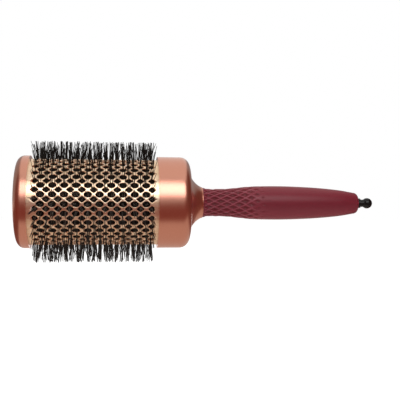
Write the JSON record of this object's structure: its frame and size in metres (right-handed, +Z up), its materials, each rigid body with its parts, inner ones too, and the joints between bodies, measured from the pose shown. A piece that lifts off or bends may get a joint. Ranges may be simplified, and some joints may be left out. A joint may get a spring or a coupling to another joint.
{
  "type": "round barrel brush",
  "caption": "Large vented round barrel hair brush with nylon bristles, turned handle and a pull-out sectioning pick.",
  "frame": {"origin": "centre of the end cap's flat front face, on the brush's axis", "axes": "+X along the axis from the end cap to the handle, +Z up, the brush lying on its side"},
  "size_m": [0.2659, 0.0872, 0.0872],
  "materials": {
    "copper_paint": "metallic copper paint",
    "barrel_coat": "pale gold ceramic coat, satin",
    "stem_steel": "drawn wire",
    "bristle_nylon": "black nylon filament",
    "core_plastic": "moulded",
    "grip_burgundy": "soft-touch satin burgundy",
    "pick_black": "polished black"
  },
  "bodies": {
    "brush": {"end_cap": "copper_paint", "barrel_tube": "barrel_coat", "rear_collar": "copper_paint", "stem_wire": "stem_steel", "bristle_ring_01": "bristle_nylon", "bristle_ring_02": "bristle_nylon", "bristle_ring_03": "bristle_nylon", "bristle_ring_04": "bristle_nylon", "bristle_ring_05": "bristle_nylon", "bristle_ring_06": "bristle_nylon", "bristle_ring_07": "bristle_nylon", "bristle_ring_08": "bristle_nylon", "bristle_ring_09": "bristle_nylon", "bristle_ring_10": "bristle_nylon", "bristle_ring_11": "bristle_nylon", "bristle_ring_12": "bristle_nylon", "bristle_ring_13": "bristle_nylon", "bristle_ring_14": "bristle_nylon", "bristle_ring_15": "bristle_nylon", "bristle_ring_16": "bristle_nylon", "bristle_ring_17": "bristle_nylon", "bristle_ring_18": "bristle_nylon", "bristle_ring_19": "bristle_nylon", "bristle_ring_20": "bristle_nylon", "bristle_ring_21": "bristle_nylon", "handle_core": "core_plastic", "handle_grip": "grip_burgundy"},
    "pick": {"sectioning_pick": "pick_black"}
  },
  "joints": [
    {"name": "pick_slide", "type": "slide", "parent": "brush", "child": "pick", "axis": [1, 0, 0], "range_m": [0, 0.088]}
  ]
}
